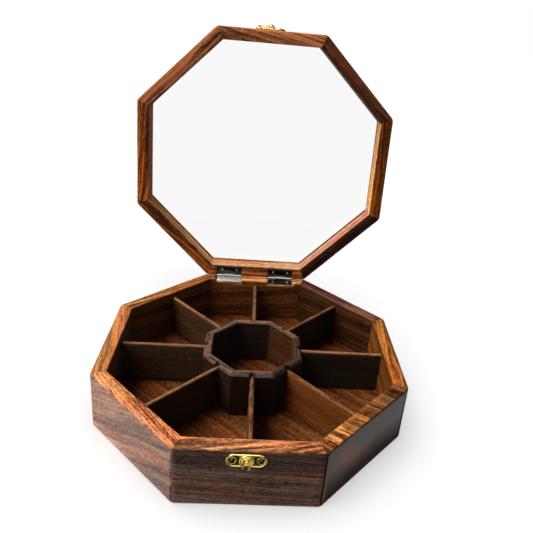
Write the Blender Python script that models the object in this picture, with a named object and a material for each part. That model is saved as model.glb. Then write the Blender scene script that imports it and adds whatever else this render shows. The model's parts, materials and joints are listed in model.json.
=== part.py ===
"""Octagonal wooden spice box with a glazed lid, standing open.

World axes: +Z up, the latch side towards -Y, origin at the centre of the underside.
The lid is built as if shut, then turned back about its hinge line.
"""

import math

import bmesh
import bpy
from mathutils import Matrix, Vector

MM = 0.001

# Driving dimensions, in millimetres.
ACROSS_FLATS = 250.0
BOX_HEIGHT = 49.0
WALL = 12.0
GAP = 0.3  # between wooden pieces that touch
FINE_GAP = 0.15  # between metal pieces that touch
EDGE_ROUND = 0.9
OVERCUT = 2.0  # how far a cutter passes the faces it cuts

FLOOR_TOP = 6.0
RABBET = 5.0

LID_THICK = 22.0
RAIL = 12.0
LID_OPEN = 94.5  # degrees past shut
GLASS_THICK = 3.0
GLASS_GROOVE = 4.5
GLASS_LEVEL = 16.0  # above the lid's underside

CUP_ACROSS = 84.0
CUP_WALL = 7.0
CUP_TOP = 47.0
CUP_CHAMFER = 1.8
CUP_GROOVE = 3.0

DIVIDER_THICK = 4.0
DIVIDER_TOP = 44.0
DIVIDER_ROUND = 1.4

HINGE_CENTRES = (-28.0, 26.0)
HINGE_WIDTH = 25.4
LEAF_THICK = 0.8
FIXED_LEAF = 11.0
MOVING_LEAF = 9.2
KNUCKLE_RADIUS = 1.5
BORE_RADIUS = 0.85
PIN_RADIUS = 0.65
HINGE_INSET = 0.74  # hinge line, in from the back face
HINGE_DROP = 0.8  # and below the rim
TAB_INSET = 0.05
TAB_OVERLAP = 1.0
PIN_INSET = 0.2
PIN_CHAMFER = 0.2
MORTISE = 2.7
LEAF_POCKET = 1.1
NAIL_SPREAD = 7.5
MOVING_NAIL_FROM_LINE = 5.8
FIXED_NAIL_FROM_LINE = 7.3
NAIL_SHANK = 0.5
NAIL_LENGTH = 5.0
NAIL_HEAD = 1.2
NAIL_DOME = 0.65
NAIL_HOLE = 0.8

LATCH_X = -2.0
PLATE_LENGTH = 28.0
PLATE_HEIGHT = 11.4
PLATE_THICK = 1.4
PLATE_BEVEL = 0.8
END_FLAT = 0.05  # straight run between the two arcs of a round end
BOSS_RADIUS = 5.2
BOSS_THICK = 2.2
BOSS_ROUND = 0.3
CATCH_LEVEL = 41.5
LATCH_LEVEL = 56.2
SCREW_SPREAD = 9.8
SCREW_SHANK = 0.8
SCREW_LENGTH = 8.0
SCREW_HEAD = 1.9
SCREW_DOME = 0.7
SCREW_HOLE = 1.1
BORE_SLACK = 0.6  # depth of a blind bore past the nail or screw in it
ARM_THICK = 1.2
ARM_LIFT = 2.5  # underside of the arm above the lid's face
ARM_HALF_WIDTH = 3.4
ARM_REST = 125.0  # degrees from +X, seen from the front
ARM_END = 3.8  # past the centres of the rivet and the hooked stud
HOOK_CLEARANCE = 0.4
HOOK_LEAD = 1.2
PEG_RADIUS = 1.2  # the stud's and the rivet's shank
PEG_DEPTH = 3.0
PEG_CHAMFER = 0.4
PEG_HOLE = 1.5
STUD_NECK = 1.7
STUD_DISC = 2.9
STUD_REACH = 2.4  # free length of the neck above the hooked arm
STUD_FLARE = 0.4
DISC_THICK = 0.6
DISC_ROUND = 0.3
RIVET_HEAD = 2.4
RIVET_DOME = 1.45

INNER_FLAT = ACROSS_FLATS / 2 - WALL
LID_UNDERSIDE = BOX_HEIGHT + GAP
HINGE_Y = ACROSS_FLATS / 2 - HINGE_INSET
HINGE_Z = BOX_HEIGHT - HINGE_DROP

SIDES = (
    ("right", 0),
    ("back_right", 45),
    ("back", 90),
    ("back_left", 135),
    ("left", 180),
    ("front_left", 225),
    ("front", 270),
    ("front_right", 315),
)

# Finish: base colour, roughness, metallic.
ROSEWOOD = ((0.22, 0.075, 0.026), 0.42, 0.0)
DARK_ROSEWOOD = ((0.085, 0.034, 0.018), 0.45, 0.0)
ORANGE_ROSEWOOD = ((0.36, 0.135, 0.042), 0.42, 0.0)
GREY_ROSEWOOD = ((0.10, 0.066, 0.047), 0.6, 0.0)
BRASS = ((0.80, 0.58, 0.20), 0.22, 1.0)
DARK_STEEL = ((0.10, 0.095, 0.09), 0.35, 1.0)
GLASS = ((0.97, 0.99, 0.98), 0.03, 0.0)


def clear_scene():
    for obj in list(bpy.data.objects):
        bpy.data.objects.remove(obj, do_unlink=True)


def make_material(name, finish):
    colour, roughness, metallic = finish
    material = bpy.data.materials.new(name)
    material.use_nodes = True
    shader = material.node_tree.nodes["Principled BSDF"]
    shader.inputs["Base Color"].default_value = (*colour, 1.0)
    shader.inputs["Roughness"].default_value = roughness
    shader.inputs["Metallic"].default_value = metallic
    if finish is GLASS:
        shader.inputs["Transmission Weight"].default_value = 1.0
        shader.inputs["IOR"].default_value = 1.5
    return material


def mesh_object(name, loops, finish=None, parent=None, matrix=None, smooth=False):
    """A closed skin over equal-length loops of points in millimetres, capped at both ends."""
    bm = bmesh.new()
    rings = [[bm.verts.new(Vector(p) * MM) for p in loop] for loop in loops]
    for lower, upper in zip(rings, rings[1:]):
        for i in range(len(lower)):
            j = (i + 1) % len(lower)
            bm.faces.new((lower[i], lower[j], upper[j], upper[i]))
    bm.faces.new(list(reversed(rings[0])))
    bm.faces.new(rings[-1])
    bmesh.ops.recalc_face_normals(bm, faces=bm.faces)
    mesh = bpy.data.meshes.new(name)
    bm.to_mesh(mesh)
    bm.free()
    if smooth:
        mesh.shade_smooth()
        mesh.set_sharp_from_angle(angle=math.radians(35))
    obj = bpy.data.objects.new(name, mesh)
    bpy.context.scene.collection.objects.link(obj)
    if finish:
        mesh.materials.append(make_material(name, finish))
    obj.parent = parent
    if matrix:
        obj.matrix_local = matrix
    return obj


def empty(name, location, rotation=(0.0, 0.0, 0.0), parent=None):
    obj = bpy.data.objects.new(name, None)
    obj.location = Vector(location) * MM
    obj.rotation_euler = rotation
    obj.parent = parent
    bpy.context.scene.collection.objects.link(obj)
    return obj


def boolean(obj, other, operation="DIFFERENCE"):
    other.hide_render = True
    other.display_type = "WIRE"
    modifier = obj.modifiers.new(other.name, "BOOLEAN")
    modifier.operation = operation
    modifier.solver = "EXACT"
    modifier.object = other


def place(x, y, z, direction="Z"):
    """Moves a shape to a point in millimetres, its +Z turned to the named way."""
    turns = {
        "Z": Matrix.Identity(4),
        "-Z": Matrix.Rotation(math.pi, 4, "X"),
        "-Y": Matrix.Rotation(math.pi / 2, 4, "X"),
        "X": Matrix.Rotation(math.pi / 2, 4, "Y"),
    }
    return Matrix.Translation(Vector((x, y, z)) * MM) @ turns[direction]


def rounded(corners, segments=3):
    """A polygon from (x, y, radius) corners, each turned into an arc."""
    points = []
    for i, (x, y, radius) in enumerate(corners):
        here = Vector((x, y))
        if not radius:
            points.append((x, y))
            continue
        before = (Vector(corners[i - 1][:2]) - here).normalized()
        after = (Vector(corners[(i + 1) % len(corners)][:2]) - here).normalized()
        half = before.angle(after) / 2
        start = here + before * (radius / math.tan(half))
        centre = here + (before + after).normalized() * (radius / math.sin(half))
        first = start - centre
        sweep = math.pi - 2 * half
        turn = 1 if before.x * after.y - before.y * after.x < 0 else -1
        for k in range(segments + 1):
            angle = turn * sweep * k / segments
            c, s = math.cos(angle), math.sin(angle)
            points.append(
                (centre.x + c * first.x - s * first.y, centre.y + s * first.x + c * first.y)
            )
    return points


def circle(radius, count, x=0.0, y=0.0):
    angles = [math.tau * (k + 0.5) / count for k in range(count)]
    return [(x + radius * math.cos(a), y + radius * math.sin(a)) for a in angles]


def levels(outlines):
    """Loops from (flat outline, height) pairs."""
    return [[(x, y, z) for x, y in outline] for outline, z in outlines]


def lathe(name, profile, count, **where):
    """A turned piece: (radius, height) rings about +Z, with a flat disc at each end."""
    loops = levels([(circle(radius, count), z) for radius, z in profile])
    return mesh_object(name, loops, smooth=True, **where)


def dome(radius, height, base):
    """Rings of a domed head, from its rim to the small flat at its top."""
    angles = [math.radians(26 * k) for k in range(4)]
    return [(radius * math.cos(a), base + height * math.sin(a)) for a in angles]


def drill(obj, name, holes, radius, depth, direction, count=12):
    """Cuts round holes from the given points, each to its depth against the named way."""
    outline = circle(radius, count)
    for k, (x, y, z) in enumerate(holes):
        loops = levels([(outline, -depth), (outline, OVERCUT)])
        cutter = mesh_object(f"{name}_{k}", loops, matrix=place(x, y, z, direction))
        cutter.parent = obj.parent
        boolean(obj, cutter)


def box_cutter(obj, name, low, high):
    (x0, y0, z0), (x1, y1, z1) = low, high
    outline = [(x0, y0), (x1, y0), (x1, y1), (x0, y1)]
    cutter = mesh_object(name, levels([(outline, z0), (outline, z1)]))
    cutter.parent = obj.parent
    boolean(obj, cutter)


def mitred(name, section, azimuth, finish, parent, shift=(0.0, 0.0, 0.0)):
    """One side of an octagonal frame. The section holds (distance out, height) points."""
    slope = math.tan(math.pi / 8)
    trim = GAP / 2 / math.cos(math.pi / 8)
    left = [(-(r * slope - trim), r, z) for r, z in section]
    right = [(r * slope - trim, r, z) for r, z in section]
    turn = Matrix.Rotation(math.radians(azimuth - 90), 4, "Z")
    matrix = Matrix.Translation(Vector(shift) * MM) @ turn
    return mesh_object(name, [left, right], finish, parent, matrix)


def octagon(across):
    radius = across / 2 / math.cos(math.pi / 8)
    angles = [math.pi / 8 + math.pi / 4 * k for k in range(8)]
    return [(radius * math.cos(a), radius * math.sin(a)) for a in angles]


def build_walls():
    outer = ACROSS_FLATS / 2
    ledge = FLOOR_TOP + GAP
    section = rounded(
        [
            (outer, 0.0, EDGE_ROUND),
            (outer, BOX_HEIGHT, EDGE_ROUND),
            (INNER_FLAT, BOX_HEIGHT, EDGE_ROUND),
            (INNER_FLAT, ledge, 0.0),
            (INNER_FLAT + RABBET, ledge, 0.0),
            (INNER_FLAT + RABBET, 0.0, 0.0),
        ]
    )
    finishes = {
        "right": ORANGE_ROSEWOOD,
        "front_right": DARK_ROSEWOOD,
        "back_right": DARK_ROSEWOOD,
    }
    walls = {
        side: mitred(f"wall_{side}", section, azimuth, finishes.get(side, ROSEWOOD), None)
        for side, azimuth in SIDES
    }
    floor = octagon(2 * (INNER_FLAT + RABBET - GAP))
    mesh_object("bottom_panel", levels([(floor, 0.0), (floor, FLOOR_TOP)]), ORANGE_ROSEWOOD)
    return walls


def build_dividers():
    """Loose boards from the cup to the middle of each wall, each on its own lifting line."""
    inner = CUP_ACROSS / 2 - CUP_GROOVE + GAP
    outer = INNER_FLAT - GAP
    half = DIVIDER_THICK / 2
    section = rounded(
        [
            (-half, FLOOR_TOP + GAP, 0.0),
            (half, FLOOR_TOP + GAP, 0.0),
            (half, DIVIDER_TOP, DIVIDER_ROUND),
            (-half, DIVIDER_TOP, DIVIDER_ROUND),
        ],
        segments=4,
    )
    for side, azimuth in SIDES:
        middle = (inner + outer) / 2
        angle = math.radians(azimuth)
        seat = empty(
            f"lift_{side}",
            (middle * math.cos(angle), middle * math.sin(angle), 0.0),
            (0.0, 0.0, angle),
        )
        ends = [[(x, y, z) for y, z in section] for x in (inner - middle, outer - middle)]
        mesh_object(f"divider_{side}", ends, DARK_ROSEWOOD, seat)


def build_cup():
    """A ring of eight staves standing on the floor, each grooved for a divider's end."""
    outer = CUP_ACROSS / 2
    inner = outer - CUP_WALL
    low = FLOOR_TOP + GAP
    section = [
        (outer, low),
        (outer, CUP_TOP - CUP_CHAMFER),
        (outer - CUP_CHAMFER, CUP_TOP),
        (inner + CUP_CHAMFER / 2, CUP_TOP),
        (inner, CUP_TOP - CUP_CHAMFER / 2),
        (inner, low),
    ]
    lift = empty("cup_lift", (0.0, 0.0, 0.0))
    reach = DIVIDER_THICK / 2 + GAP
    slot = [
        (outer - CUP_GROOVE, -reach),
        (outer + OVERCUT, -reach),
        (outer + OVERCUT, reach),
        (outer - CUP_GROOVE, reach),
    ]
    for side, azimuth in SIDES:
        stave = mitred(f"cup_{side}", section, azimuth, GREY_ROSEWOOD, lift)
        cutter = mesh_object(
            f"groove_{side}",
            levels([(slot, low - OVERCUT), (slot, CUP_TOP + OVERCUT)]),
            parent=lift,
            matrix=Matrix.Rotation(math.radians(azimuth), 4, "Z"),
        )
        boolean(stave, cutter)


def build_lid(pivot):
    """Eight grooved rails round a pane, in the hinge's own axes as if shut."""
    base = LID_UNDERSIDE
    outer = ACROSS_FLATS / 2
    inner = outer - RAIL
    groove_low = base + GLASS_LEVEL
    groove_high = groove_low + GLASS_THICK + 2 * GAP
    bed = inner + GLASS_GROOVE
    section = rounded(
        [
            (outer, base, EDGE_ROUND),
            (outer, base + LID_THICK, 2 * EDGE_ROUND),
            (inner, base + LID_THICK, EDGE_ROUND),
            (inner, groove_high, 0.0),
            (bed, groove_high, 0.0),
            (bed, groove_low, 0.0),
            (inner, groove_low, 0.0),
            (inner, base, EDGE_ROUND),
        ]
    )
    shift = (0.0, -HINGE_Y, -HINGE_Z)
    rails = {}
    for side, azimuth in SIDES:
        finish = DARK_ROSEWOOD if side in ("right", "back_right", "front_right") else ROSEWOOD
        rails[side] = mitred(f"lid_rail_{side}", section, azimuth, finish, pivot, shift)
    pane = octagon(2 * (bed - GAP))
    low = groove_low + GAP
    mesh_object(
        "lid_glass",
        levels([(pane, low), (pane, low + GLASS_THICK)]),
        GLASS,
        pivot,
        Matrix.Translation(Vector(shift) * MM),
    )
    return rails


def knuckle_spans(centre):
    """The three knuckles' ends along X. The middle one turns with the lid."""
    left = centre - HINGE_WIDTH / 2
    quarter = HINGE_WIDTH / 4
    return (
        (left, left + quarter - FINE_GAP),
        (left + quarter + FINE_GAP, left + 3 * quarter - FINE_GAP),
        (left + 3 * quarter + FINE_GAP, left + HINGE_WIDTH),
    )


def leaf(name, centre, reach, low, knuckles, parent, line):
    """A flat leaf and its rolled knuckles, measured from the hinge line."""
    y_line, z_line = line
    high = low + LEAF_THICK
    clear = KNUCKLE_RADIUS + GAP
    left, right = centre - HINGE_WIDTH / 2, centre + HINGE_WIDTH / 2
    outline = [(left, -reach), (right, -reach), (right, -clear), (left, -clear)]
    matrix = Matrix.Translation(Vector((0.0, y_line, z_line)) * MM)
    plate = mesh_object(
        name, levels([(outline, low), (outline, high)]), DARK_STEEL, parent, matrix, smooth=True
    )
    for k, (x0, x1) in enumerate(knuckles):
        a, b = x0 + TAB_INSET, x1 - TAB_INSET
        root = -clear - TAB_OVERLAP
        tab = [(a, root), (b, root), (b, 0.0), (a, 0.0)]
        strip = mesh_object(
            f"{name}_tab_{k}",
            levels([(tab, low + TAB_INSET), (tab, high - TAB_INSET)]),
            parent=parent,
            matrix=matrix,
        )
        ring = circle(KNUCKLE_RADIUS, 20)
        barrel = mesh_object(
            f"{name}_barrel_{k}",
            [[(x, y, z) for y, z in ring] for x in (x0, x1)],
            parent=parent,
            matrix=matrix,
        )
        boolean(plate, strip, "UNION")
        boolean(plate, barrel, "UNION")
    bore = mesh_object(
        f"{name}_bore",
        [
            [(x, y, z) for y, z in circle(BORE_RADIUS, 14)]
            for x in (left - OVERCUT, right + OVERCUT)
        ],
        parent=parent,
        matrix=matrix,
    )
    boolean(plate, bore)
    return plate


def nail(name, spot, direction, parent, shank, length, head, height):
    """A dome-headed nail whose head rests just over the named surface point."""
    profile = [(shank * 0.4, -length), (shank, 2 * shank - length), (shank, FINE_GAP)]
    profile += dome(head, height, FINE_GAP)
    lathe(name, profile, 12, finish=DARK_STEEL, parent=parent, matrix=place(*spot, direction))


def build_hinges(back_wall, back_rail, pivot):
    fixed_low = -MORTISE + GAP + HINGE_DROP  # underside of the fixed leaf from the hinge line
    fixed_top = fixed_low + LEAF_THICK
    moving_low = GAP + HINGE_DROP
    outer = ACROSS_FLATS / 2
    half = HINGE_WIDTH / 2 + GAP
    pin_end = HINGE_WIDTH / 2 - PIN_INSET
    pin = [
        (PIN_RADIUS - PIN_CHAMFER, -pin_end),
        (PIN_RADIUS, PIN_CHAMFER - pin_end),
        (PIN_RADIUS, pin_end - PIN_CHAMFER),
        (PIN_RADIUS - PIN_CHAMFER, pin_end),
    ]
    shape = (NAIL_SHANK, NAIL_LENGTH, NAIL_HEAD, NAIL_DOME)
    deep = NAIL_LENGTH + BORE_SLACK
    for side, centre in zip(("left", "right"), HINGE_CENTRES):
        box_cutter(
            back_wall,
            f"mortise_{side}",
            (centre - half, INNER_FLAT - OVERCUT, BOX_HEIGHT - MORTISE),
            (centre + half, outer + OVERCUT, BOX_HEIGHT + OVERCUT),
        )
        box_cutter(
            back_rail,
            f"pocket_{side}",
            (centre - half, -MOVING_LEAF - GAP, moving_low - OVERCUT),
            (centre + half, HINGE_INSET + OVERCUT, moving_low + LEAF_POCKET),
        )
        name = f"hinge_{side}"
        line = (HINGE_Y, HINGE_Z)
        ends = knuckle_spans(centre)
        outer_ends = (ends[0], ends[2])
        fixed = leaf(
            f"{name}_fixed_leaf", centre, FIXED_LEAF, fixed_low, outer_ends, None, line
        )
        moving = leaf(
            f"{name}_moving_leaf", centre, MOVING_LEAF, moving_low, (ends[1],), pivot, (0, 0)
        )
        spots = [centre - NAIL_SPREAD, centre + NAIL_SPREAD]
        fixed_spots = [
            (x, HINGE_Y - FIXED_NAIL_FROM_LINE, HINGE_Z + fixed_top) for x in spots
        ]
        moving_spots = [(x, -MOVING_NAIL_FROM_LINE, moving_low) for x in spots]
        drill(fixed, f"fixed_hole_{side}", fixed_spots, NAIL_HOLE, OVERCUT, "Z")
        drill(back_wall, f"wall_hole_{side}", fixed_spots, NAIL_HOLE, deep, "Z")
        drill(moving, f"moving_hole_{side}", moving_spots, NAIL_HOLE, OVERCUT, "-Z")
        drill(back_rail, f"rail_hole_{side}", moving_spots, NAIL_HOLE, deep, "-Z")
        for k in (0, 1):
            nail(f"{name}_fixed_nail_{k + 1}", fixed_spots[k], "Z", None, *shape)
            nail(f"{name}_moving_nail_{k + 1}", moving_spots[k], "-Z", pivot, *shape)
        matrix = place(centre, HINGE_Y, HINGE_Z, "X")
        lathe(f"{name}_pin", pin, 14, finish=DARK_STEEL, matrix=matrix)


def round_ended(left, right, half_width):
    """The outline of a strip along X with round ends."""
    radius = half_width - END_FLAT
    corners = [
        (left, -half_width, radius),
        (right, -half_width, radius),
        (right, half_width, radius),
        (left, half_width, radius),
    ]
    return rounded(corners, 6)


def build_plate(name, mount):
    """A round-ended plate with bevelled edges and a round boss, its face towards the mount's +Z."""
    half_x = PLATE_LENGTH / 2
    half_y = PLATE_HEIGHT / 2
    edge = round_ended(-half_x, half_x, half_y)
    face = round_ended(PLATE_BEVEL - half_x, half_x - PLATE_BEVEL, half_y - PLATE_BEVEL)
    loops = levels([(edge, FINE_GAP), (edge, PLATE_THICK - PLATE_BEVEL), (face, PLATE_THICK)])
    plate = mesh_object(name, loops, BRASS, mount, smooth=True)
    rim = circle(BOSS_RADIUS, 28)
    top = circle(BOSS_RADIUS - BOSS_ROUND, 28)
    boss = levels([(rim, 2 * FINE_GAP), (rim, BOSS_THICK - BOSS_ROUND), (top, BOSS_THICK)])
    boolean(plate, mesh_object(f"{name}_boss", boss, parent=mount), "UNION")
    drill(plate, f"{name}_centre_hole", [(0, 0, BOSS_THICK)], PEG_HOLE, 2 * OVERCUT, "Z", 16)
    spots = [(x, 0.0, PLATE_THICK) for x in (-SCREW_SPREAD, SCREW_SPREAD)]
    drill(plate, f"{name}_screw_hole", spots, SCREW_HOLE, OVERCUT, "Z", 14)
    for k, spot in enumerate(spots):
        shape = (SCREW_SHANK, SCREW_LENGTH, SCREW_HEAD, SCREW_DOME)
        nail(f"{name}_screw_{k + 1}", spot, "Z", mount, *shape)


def bore_for_plate(wood, name, y, z):
    """Blind holes in the wood behind a latch plate."""
    screw_depth = SCREW_LENGTH - PLATE_THICK + BORE_SLACK
    spots = [(LATCH_X + x, y, z) for x in (-SCREW_SPREAD, SCREW_SPREAD)]
    peg_depth = PEG_DEPTH + PEG_CHAMFER
    drill(wood, f"{name}_peg_bore", [(LATCH_X, y, z)], PEG_HOLE, peg_depth, "-Y", 16)
    drill(wood, f"{name}_screw_bore", spots, SCREW_HOLE, screw_depth, "-Y", 14)


def build_arm(mount):
    """The swinging arm, hooked at its end to pass sideways over the stud's neck."""
    reach = LATCH_LEVEL - CATCH_LEVEL
    pivot = empty("arm_pivot", (0, 0, 0), (0, 0, math.radians(ARM_REST)), mount)
    outline = round_ended(-ARM_END, reach + ARM_END, ARM_HALF_WIDTH)
    low = ARM_LIFT
    high = ARM_LIFT + ARM_THICK
    loops = levels([(outline, low), (outline, high)])
    arm = mesh_object("latch_arm", loops, BRASS, pivot, smooth=True)
    throat = STUD_NECK + HOOK_CLEARANCE
    side = ARM_HALF_WIDTH + OVERCUT
    angles = [math.pi + math.pi * k / 8 for k in range(9)]
    slot = [(reach + throat * math.cos(a), throat * math.sin(a)) for a in angles]
    slot += [(reach + throat, side), (reach - throat - HOOK_LEAD, side)]
    for name, shape in (("arm_hole", circle(PEG_HOLE, 16)), ("arm_slot", slot)):
        loops = levels([(shape, low - OVERCUT), (shape, high + OVERCUT)])
        boolean(arm, mesh_object(name, loops, parent=pivot))


def build_latch(front_wall, front_rail, pivot):
    face = -ACROSS_FLATS / 2
    forward = (math.pi / 2, 0.0, 0.0)
    catch = empty("catch_mount", (LATCH_X, face, CATCH_LEVEL), forward)
    lid_face = face - HINGE_Y
    lid_level = LATCH_LEVEL - HINGE_Z
    latch = empty("latch_mount", (LATCH_X, lid_face, lid_level), forward, pivot)
    build_plate("catch_plate", catch)
    build_plate("latch_plate", latch)
    bore_for_plate(front_wall, "catch", face, CATCH_LEVEL)
    bore_for_plate(front_rail, "latch", lid_face, lid_level)
    peg = [(PEG_RADIUS - PEG_CHAMFER, -PEG_DEPTH), (PEG_RADIUS, PEG_CHAMFER - PEG_DEPTH)]
    seat = BOSS_THICK + FINE_GAP
    neck_top = ARM_LIFT + ARM_THICK + STUD_REACH
    disc_low = neck_top + STUD_FLARE
    disc_high = disc_low + DISC_THICK
    stud = peg + [
        (PEG_RADIUS, seat),
        (STUD_NECK, seat),
        (STUD_NECK, neck_top),
        (STUD_DISC, disc_low),
        (STUD_DISC, disc_high),
        (STUD_DISC - DISC_ROUND, disc_high + DISC_ROUND),
    ]
    lathe("catch_stud", stud, 20, finish=BRASS, parent=catch)
    head = ARM_LIFT + ARM_THICK + FINE_GAP
    rivet = peg + [(PEG_RADIUS, head)] + dome(RIVET_HEAD, RIVET_DOME, head)
    lathe("latch_rivet", rivet, 20, finish=BRASS, parent=latch)
    build_arm(latch)


def main():
    clear_scene()
    bpy.context.scene.unit_settings.scale_length = 1.0
    walls = build_walls()
    build_dividers()
    build_cup()
    pivot = empty("lid_pivot", (0.0, HINGE_Y, HINGE_Z), (-math.radians(LID_OPEN), 0.0, 0.0))
    rails = build_lid(pivot)
    build_hinges(walls["back"], rails["back"], pivot)
    build_latch(walls["front"], rails["front"], pivot)


main()
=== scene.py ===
"""Looks of the octagonal spice box: boards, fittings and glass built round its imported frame."""

import json
import math
import random

import bmesh
import bpy
import numpy as np
from mathutils import Matrix, Vector, noise


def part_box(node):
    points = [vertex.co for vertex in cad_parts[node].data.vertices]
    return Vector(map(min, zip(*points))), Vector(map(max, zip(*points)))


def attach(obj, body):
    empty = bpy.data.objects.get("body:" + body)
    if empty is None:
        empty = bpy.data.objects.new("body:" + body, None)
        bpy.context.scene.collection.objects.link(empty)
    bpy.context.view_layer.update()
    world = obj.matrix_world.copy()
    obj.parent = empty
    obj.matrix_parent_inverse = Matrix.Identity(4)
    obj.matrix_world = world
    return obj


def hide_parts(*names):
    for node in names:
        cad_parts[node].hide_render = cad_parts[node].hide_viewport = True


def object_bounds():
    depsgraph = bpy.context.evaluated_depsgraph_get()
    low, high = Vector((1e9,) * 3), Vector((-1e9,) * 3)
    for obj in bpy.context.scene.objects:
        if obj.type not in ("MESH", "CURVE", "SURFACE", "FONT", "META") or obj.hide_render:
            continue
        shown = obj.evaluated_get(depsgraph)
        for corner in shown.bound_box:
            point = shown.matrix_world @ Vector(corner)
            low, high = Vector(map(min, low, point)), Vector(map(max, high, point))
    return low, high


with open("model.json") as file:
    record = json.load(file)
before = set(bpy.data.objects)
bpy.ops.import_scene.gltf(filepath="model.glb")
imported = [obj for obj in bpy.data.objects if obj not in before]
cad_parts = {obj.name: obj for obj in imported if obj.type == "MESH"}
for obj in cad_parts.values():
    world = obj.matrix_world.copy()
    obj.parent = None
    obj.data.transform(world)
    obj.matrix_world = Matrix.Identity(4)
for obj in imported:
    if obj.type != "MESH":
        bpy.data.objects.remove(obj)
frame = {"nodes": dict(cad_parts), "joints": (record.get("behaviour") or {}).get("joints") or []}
cad_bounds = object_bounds()

MM = 0.001
SLOPE = math.tan(math.pi / 8)
SIDES = {
    "right": 0,
    "back_right": 45,
    "back": 90,
    "back_left": 135,
    "left": 180,
    "front_left": 225,
    "front": 270,
    "front_right": 315,
}

# Joints between boards, in millimetres.
MITRE = 0.04  # half the width of the glue line
CORNER = 7.0  # plan radius of the eight outer corners
FLOOR_RADIUS = 4.0  # metres
FLOOR_DROP = 0.0002
KNUCKLE_GAP = 0.15
SHEET = 0.8  # thickness of the hinges' sheet metal
SCREW_SPREAD = 9.8
FITTINGS = {"latch_brass": [], "screw_steel": [], "nail_steel": [], "hinge_steel": []}  # metal pieces by slot
CELL = 5.0  # largest facet on a board's faces
RIPPLE = 0.16  # depth of the hand-sanded unevenness
RELIEF = 0.00025  # height of the grain's relief, in metres


def turned(azimuth):
    """Axes of one side of the octagon: x along it, y outwards, z up."""
    return Matrix.Rotation(math.radians(azimuth - 90), 4, "Z")


def opened():
    """The turn that takes the shut lid to its open rest."""
    hinge = next(j for j in frame["joints"] if j["name"] == "lid_hinge")
    line = Matrix.Translation(Vector(hinge["pos_m"]))
    turn = Matrix.Rotation(math.radians(-hinge["range_deg"][0]), 4, Vector(hinge["axis"]))
    return line @ turn @ line.inverted()


LID = opened()


def extent(node, axes):
    """A CAD node's lowest and highest corners in the given axes, in millimetres."""
    inverse = axes.inverted()
    points = np.array([inverse @ v.co for v in frame["nodes"][node].data.vertices]) / MM
    return points.min(axis=0), points.max(axis=0)


# ---------------------------------------------------------------- shapes


def rounded(corners, segments=4):
    """Points and wear of a polygon whose (y, z, radius) corners become arcs."""
    points = []
    for i, (x, y, radius) in enumerate(corners):
        here = Vector((x, y))
        if not radius:
            points.append((x, y))
            continue
        before = (Vector(corners[i - 1][:2]) - here).normalized()
        after = (Vector(corners[(i + 1) % len(corners)][:2]) - here).normalized()
        half = before.angle(after) / 2
        first = here + before * (radius / math.tan(half))
        centre = here + (before + after).normalized() * (radius / math.sin(half))
        arm = first - centre
        sweep = math.pi - 2 * half
        turn = 1 if before.x * after.y - before.y * after.x < 0 else -1
        for k in range(segments + 1):
            angle = turn * sweep * k / segments
            c, s = math.cos(angle), math.sin(angle)
            points.append((centre.x + c * arm.x - s * arm.y, centre.y + s * arm.x + c * arm.y))
    return points


def divided(points, longest):
    """The closed outline with its long sides cut into equal lengths."""
    fine = []
    for i, here in enumerate(points):
        there = points[(i + 1) % len(points)]
        span = math.dist(here, there)
        count = max(1, math.ceil(span / longest))
        for k in range(count):
            t = k / count
            fine.append((here[0] + t * (there[0] - here[0]), here[1] + t * (there[1] - here[1])))
    return fine


def normals(points):
    """Outward unit normals of a closed outline."""
    count = len(points)
    area = sum(
        points[i - 1][0] * points[i][1] - points[i][0] * points[i - 1][1] for i in range(count)
    )
    turn = 1 if area > 0 else -1
    found = []
    for i in range(count):
        along = Vector(points[(i + 1) % count]) - Vector(points[i - 1])
        found.append(Vector((along.y, -along.x)).normalized() * turn)
    return found


def skin(name, loops, axes, smooth=40):
    """A closed mesh over equal loops of points in millimetres, capped at both ends."""
    bm = bmesh.new()
    rings = [[bm.verts.new(Vector(p) * MM) for p in loop] for loop in loops]
    for lower, upper in zip(rings, rings[1:]):
        for i in range(len(lower)):
            j = (i + 1) % len(lower)
            bm.faces.new((lower[i], lower[j], upper[j], upper[i]))
    bm.faces.new(list(reversed(rings[0])))
    bm.faces.new(rings[-1])
    bmesh.ops.recalc_face_normals(bm, faces=bm.faces)
    mesh = bpy.data.meshes.new(name)
    bm.to_mesh(mesh)
    bm.free()
    mesh.shade_smooth()
    mesh.set_sharp_from_angle(angle=math.radians(smooth))
    obj = bpy.data.objects.new(name, mesh)
    bpy.context.scene.collection.objects.link(obj)
    obj.matrix_world = axes
    return obj


def wear_of(obj, edges, reach=1.7):
    """Stores how near each point is to the exposed edges, in the board's own (y, z) plane."""
    attribute = obj.data.attributes.new("wear", "FLOAT", "POINT")
    values = []
    for vertex in obj.data.vertices:
        _, y, z = vertex.co / MM
        near = min(math.dist((y, z), edge) for edge in edges)
        values.append(math.exp(-((near / reach) ** 2)))
    attribute.data.foreach_set("value", values)


def cut(obj, cutters, operation="DIFFERENCE"):
    """Cuts or joins shapes exactly and keeps the result in the mesh."""
    for cutter in cutters:
        modifier = obj.modifiers.new(cutter.name, "BOOLEAN")
        modifier.operation = operation
        modifier.solver = "EXACT"
        modifier.object = cutter
    bpy.context.view_layer.update()
    graph = bpy.context.evaluated_depsgraph_get()
    mesh = bpy.data.meshes.new_from_object(obj.evaluated_get(graph))
    obj.modifiers.clear()
    obj.data = mesh
    for cutter in cutters:
        bpy.data.objects.remove(cutter)


def block(axes, low, high):
    (x0, y0, z0), (x1, y1, z1) = low, high
    outline = [(x0, y0), (x1, y0), (x1, y1), (x0, y1)]
    return skin("cutter", [[(x, y, z) for x, y in outline] for z in (z0, z1)], axes)


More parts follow.
